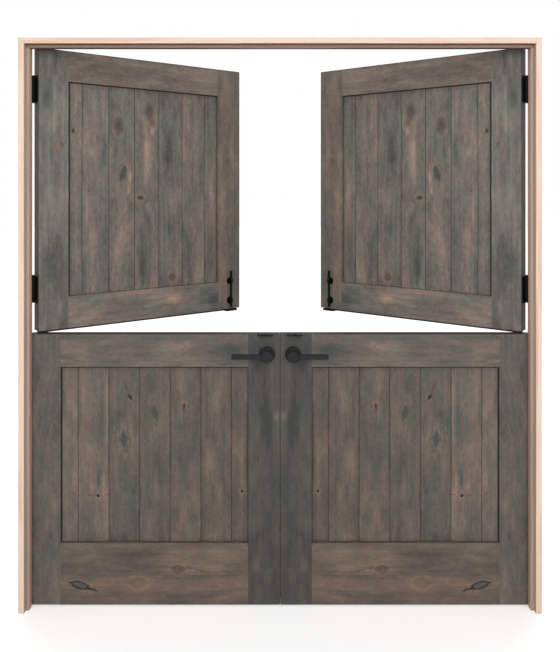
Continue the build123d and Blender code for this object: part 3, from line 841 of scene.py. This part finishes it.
def iron(name):
    """Black coated iron, a little lighter where it is rubbed."""
    web = Web(name)
    figures = web.figures(rest_place(web), iron_figures)
    tone = web.sum(middle_tone, web.swings(figures, iron_shares))
    colour = web.tones(tone, tuple(zip(iron_tone_range, (irons[name].dark, irons[name].rubbed))))
    roughness = web.between(figures["cloud"], *iron_roughness)
    web.shader.inputs["Metallic"].default_value = iron_metallic
    web.shader.inputs["Specular IOR Level"].default_value = irons[name].shine
    return web.finish(colour, roughness, web.math("MULTIPLY", figures["peel"], iron_relief))


def steel():
    """Satin steel of the latch, brushed along its length."""
    web = Web("latch_steel")
    figures = web.figures(rest_place(web), steel_figures)
    brush = figures["brush"]
    colour = web.tones(web.sum(brush, web.spread(figures["cloud"], steel_cloud_share)), steel_tones)
    relief = web.math("MULTIPLY", brush, steel_relief)
    web.shader.inputs["Metallic"].default_value = 1.0
    return web.finish(colour, web.between(brush, *steel_roughness), relief)


def rubber():
    """Dull black rubber of the seals and pads."""
    web = Web("seal_rubber")
    figures = web.figures(rest_place(web), rubber_figures)
    colour = web.tones(figures["dust"], rubber_tones)
    roughness = web.between(figures["dust"], *rubber_roughness)
    return web.finish(colour, roughness, web.math("MULTIPLY", figures["grain"], rubber_relief))


def pile():
    """Grey pile of the brushes between the leaves, with its hairs across the gap."""
    web = Web("brush_pile")
    figures = web.figures(rest_place(web), pile_figures)
    tone = web.sum(figures["hairs"], web.spread(figures["clumps"], pile_clump_share))
    roughness = web.between(figures["clumps"], *pile_roughness)
    relief = web.math("MULTIPLY", figures["hairs"], pile_relief)
    return web.finish(web.tones(tone, pile_tones), roughness, relief)


def fitting_materials():
    """Materials of the fittings, seals and brushes, by name."""
    made = {name: iron(name) for name in irons}
    made["latch_steel"] = steel()
    made["seal_rubber"] = rubber()
    made["brush_pile"] = pile()
    return made


def fitting_material(words):
    """Name of a fitting's material, from the words of its node's name."""
    if words[-1] == "seal":
        return "seal_rubber"
    if words[0] in ("latch", "strike") or words[-1] == "spindle":
        return "latch_steel"
    if words[-1] in ("lever", "rosette"):
        return "lever_iron"
    if "bolt" in words:
        return "bolt_iron"
    return "black_iron"


def dress(materials):
    """Gives every solid its material, and the stiles, rails, jambs and stops their eased edges."""
    for name, node in nodes.items():
        words = name.split("_")
        part = name.replace("left_", "").replace("right_", "")
        if part in leaf_looks:
            material = alder(part, words[0], "left" if "left" in words else "right")
        elif words[-1] in ("jamb", "stop"):
            material = pine(name)
        else:
            material = materials[fitting_material(words)]
        node.data.materials.clear()
        node.data.materials.append(material)
        if words[-1] in ("stile", "rail", "jamb", "stop"):
            ease(node)


def ease(node):
    """Takes the sharpness off a wooden piece's edges."""
    node.modifiers.new("weld", "WELD").merge_threshold = weld_distance
    bevel = node.modifiers.new("ease", "BEVEL")
    bevel.width = eased_edge
    bevel.segments = ease_segments
    bevel.limit_method = "ANGLE"
    bevel.angle_limit = ease_angle


def leaf_matrix(level, side):
    """Carries a left leaf's own coordinates to the rest frame. The right side is their mirror image."""
    angle = open_angle if level == "upper" else 0.0
    left = Matrix.Translation((-hinge_x, hinge_y, 0)) @ Matrix.Rotation(angle, 4, "Z")
    return left if side == "left" else Matrix.Scale(-1, 4, (1, 0, 0)) @ left


def piece(name, mesh, matrix, body, material):
    """A new piece made in leaf coordinates, put in place and set on its body."""
    if matrix.determinant() < 0:
        bmesh.ops.reverse_faces(mesh, faces=mesh.faces)
    mesh.transform(matrix)
    data = bpy.data.meshes.new(name)
    mesh.to_mesh(data)
    mesh.free()
    data.materials.append(material)
    made = bpy.data.objects.new(name, data)
    bpy.context.scene.collection.objects.link(made)
    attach(made, body)


def skin(mesh, loops):
    """Closed skin over a row of loops that have the same number of points."""
    for first, second in zip(loops, loops[1:]):
        for i in range(len(first)):
            j = (i + 1) % len(first)
            mesh.faces.new((first[i], first[j], second[j], second[i]))
    mesh.faces.new(loops[0][::-1])
    mesh.faces.new(loops[-1])


def screw_head(mesh, place, facing, radius):
    """Raised screw head with a cross recess, standing on a face that looks along the given direction."""
    seat = Vector(facing).to_track_quat("Z", "Y").to_matrix().to_4x4()
    seat.translation = Vector(place)
    spokes = []
    for turn in range(4):
        spokes += [(radians(90 * turn + degrees), share) for degrees, share in cross_quarter_shares]
    rings = [(1.0, 0.0, -screw_sink)]
    for round_share, cross_share, rise_share in screw_ring_shares:
        rings.append((round_share, cross_share, rise_share * screw_rise))
    loops = []
    for round_share, cross_share, rise in rings:
        loop = []
        for angle, reach in spokes:
            out = radius * (round_share + cross_share * reach)
            loop.append(mesh.verts.new(seat @ Vector((out * cos(angle), out * sin(angle), rise))))
        loops.append(loop)
    skin(mesh, loops)


def hinge_screws(level, side, fittings):
    """Screws in a leaf's hinge plates and in the plates on the jamb that face them."""
    low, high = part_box(level + "_" + side + "_leaf_hinge_plates")
    plates = (low.z, high.z - hinge_height)
    halves = (("leaf", level, level + "_" + side, 1), ("frame", "lower", "frame", -1))
    for half, pose, body, direction in halves:
        mesh = bmesh.new()
        for foot in plates:
            for number, rise in enumerate(hinge_screw_rises):
                depth = leaf_rear - hinge_screw_depths[number % 2]
                place = (direction * leaf_start, depth, foot + rise)
                screw_head(mesh, place, (-direction, 0, 0), screw_radius)
        name = level + "_" + side + "_" + half + "_hinge_screws"
        piece(name, mesh, leaf_matrix(pose, side), body, fittings)


def guide_screws(side, bolt_metal):
    """Two small screws in each rose of the slide bolt, one on either side of its arch."""
    mesh = bmesh.new()
    for height in guide_heights:
        for offset in (-guide_screw_offset, guide_screw_offset):
            place = (bolt_run + offset, leaf_front - guide_rose_thickness, leaf_bottom["upper"] + height)
            screw_head(mesh, place, (0, -1, 0), guide_screw_radius)
    body = "upper_" + side
    piece(side + "_guide_screws", mesh, leaf_matrix("upper", side), body, bolt_metal)


def plate_screws(name, node, side, latch_metal):
    """Screws above and below the bolt in the latch's face plate or in the strike plate."""
    low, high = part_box(node)
    middle = (low.z + high.z) / 2
    mesh = bmesh.new()
    for rise in (-plate_screw_rise, plate_screw_rise):
        screw_head(mesh, (leaf_end, (leaf_front + leaf_rear) / 2, middle + rise), (1, 0, 0), screw_radius)
    piece(name, mesh, leaf_matrix("lower", side), "lower_" + side, latch_metal)


def meeting_brush(level, side, face, near_face, brush_pile):
    """Strip of pile on a leaf's meeting edge, near one of its faces, that closes the gap beside it."""
    shoulder = brush_shoulder_share * brush_reach
    outline = ((-brush_root, 0), (shoulder, 0), (brush_reach, 0.5), (shoulder, 1), (-brush_root, 1))
    foot = leaf_bottom[level] + brush_end_gap
    tuft = (leaf_top[level] - brush_end_gap - foot) / brush_tufts
    mesh = bmesh.new()
    loops = []
    for step in range(brush_tufts + 1):
        height = foot + tuft * step
        ruffle = 1.0 - brush_ruffle_share * (step % 2)
        loop = []
        for out, through in outline:
            place = (leaf_end + out * ruffle, near_face + brush_width * through, height)
            loop.append(mesh.verts.new(place))
        loops.append(loop)
    skin(mesh, loops)
    bmesh.ops.recalc_face_normals(mesh, faces=mesh.faces)
    name = level + "_" + face + "_brush"
    piece(name, mesh, leaf_matrix(level, side), level + "_" + side, brush_pile)


def corner_pad(side, overlap, seal):
    """Rubber pad under an upper leaf's free corner, behind the bolt's foot, with rounded lower edges."""
    turns = [pi / 2 * step / pad_rounding_steps for step in range(pad_rounding_steps + 1)]
    round_off = [(pad_rounding * (1 - cos(turn)), pad_rounding * (1 - sin(turn))) for turn in turns]
    near = [(out, rise - pad_drop) for out, rise in round_off]
    far = [(pad_width - out, height) for out, height in reversed(near)]
    outline = [(0.0, pad_sink), *near, *far, (pad_width, pad_sink)]
    front = leaf_rear - pad_setback - pad_width
    mesh = bmesh.new()
    loops = []
    for run in (leaf_end - pad_length, leaf_end + overlap):
        loop = []
        for out, height in outline:
            loop.append(mesh.verts.new((run, front + out, leaf_bottom["upper"] + height)))
        loops.append(loop)
    skin(mesh, loops)
    bmesh.ops.recalc_face_normals(mesh, faces=mesh.faces)
    piece(side + "_corner_pad", mesh, leaf_matrix("upper", side), "upper_" + side, seal)


def small_pieces(materials):
    """Screws of the hinges, bolts and latch, pads under the upper leaves and brushes between the leaves."""
    for side in sides:
        for level in levels:
            hinge_screws(level, side, materials["black_iron"])
        guide_screws(side, materials["bolt_iron"])
        corner_pad(side, pad_overlap if side == "left" else 0.0, materials["seal_rubber"])
    plate_screws("strike_screws", "strike_plate", "left", materials["latch_steel"])
    plate_screws("latch_screws", "latch_case", "right", materials["latch_steel"])
    brush_pile = materials["brush_pile"]
    for level in levels:
        meeting_brush(level, "left", "front", leaf_front + brush_setback, brush_pile)
        meeting_brush(level, "right", "rear", leaf_rear - brush_setback - brush_width, brush_pile)


def lamp(name, place, power):
    """Square soft lamp that looks at the door."""
    light = bpy.data.lights.new(name, "AREA")
    light.shape = "SQUARE"
    light.size = lamp_size
    light.energy = power
    holder = bpy.data.objects.new(light.name, light)
    holder.location = place
    holder.rotation_euler = (Vector(lamp_aim) - Vector(place)).to_track_quat("-Z", "Y").to_euler()
    bpy.context.scene.collection.objects.link(holder)


def seen_directly(tree):
    """1 for what the camera sees straight, in a mirror or through glass, and 0 for other light."""
    path = tree.nodes.new("ShaderNodeLightPath")
    total = path.outputs["Is Camera Ray"]
    for name in ("Is Glossy Ray", "Is Transmission Ray"):
        either = tree.nodes.new("ShaderNodeMath")
        either.operation = "MAXIMUM"
        tree.links.new(total, either.inputs[0])
        tree.links.new(path.outputs[name], either.inputs[1])
        total = either.outputs[0]
    return total


def surroundings():
    """White surroundings that light the door less than they show."""
    world = bpy.data.worlds.new("studio")
    bpy.context.scene.world = world
    world.use_nodes = True
    tree = world.node_tree
    strength = tree.nodes.new("ShaderNodeMapRange")
    tree.links.new(seen_directly(tree), strength.inputs["Value"])
    strength.inputs["To Min"].default_value = sky_light
    strength.inputs["To Max"].default_value = 1.0
    sky = tree.nodes["Background"]
    sky.inputs["Color"].default_value = white
    tree.links.new(strength.outputs[0], sky.inputs["Strength"])


def pale_floor():
    """Pale floor that keeps the door's shadow and turns white farther out."""
    mesh = bpy.data.meshes.new("floor")
    reach = floor_half_width
    corners = ((-reach, -reach, 0), (reach, -reach, 0), (reach, reach, 0), (-reach, reach, 0))
    mesh.from_pydata(corners, (), ((0, 1, 2, 3),))
    floor = bpy.data.objects.new("floor", mesh)
    floor.location.z = -floor_drop
    bpy.context.scene.collection.objects.link(floor)
    web = Web("pale_floor")
    away = web.length(rest_place(web))
    bright = web.fade(away, shadow_reach, far_floor_reach, floor_glow, far_floor_glow)
    web.put(web.shader.inputs["Emission Color"], white)
    web.put(web.shader.inputs["Emission Strength"], web.math("MULTIPLY", seen_directly(web.tree), bright))
    web.put(web.shader.inputs["Specular IOR Level"], 0.0)
    mesh.materials.append(web.finish(floor_tone, floor_roughness))


def camera():
    """Level camera, shifted so that the door sits where the photograph has it."""
    lens = bpy.data.cameras.new("camera")
    lens.sensor_fit = "HORIZONTAL"
    lens.sensor_width = sensor_width_mm
    lens.lens = focal_length_px * sensor_width_mm / image_width
    lens.shift_y = camera_shift
    holder = bpy.data.objects.new("camera", lens)
    holder.location = (0.0, -camera_distance, camera_height)
    holder.rotation_euler = (camera_tilt, 0.0, 0.0)
    bpy.context.scene.collection.objects.link(holder)
    bpy.context.scene.camera = holder


def studio():
    """White surroundings, four soft lamps, the floor and the camera."""
    bpy.context.scene.view_settings.view_transform = "Standard"
    surroundings()
    for place in front_lamp_places:
        lamp("front_lamp", place, front_lamp_power)
    for place in rear_lamp_places:
        lamp("rear_lamp", place, rear_lamp_power)
    pale_floor()
    camera()


made_materials = fitting_materials()
dress(made_materials)
small_pieces(made_materials)
studio()
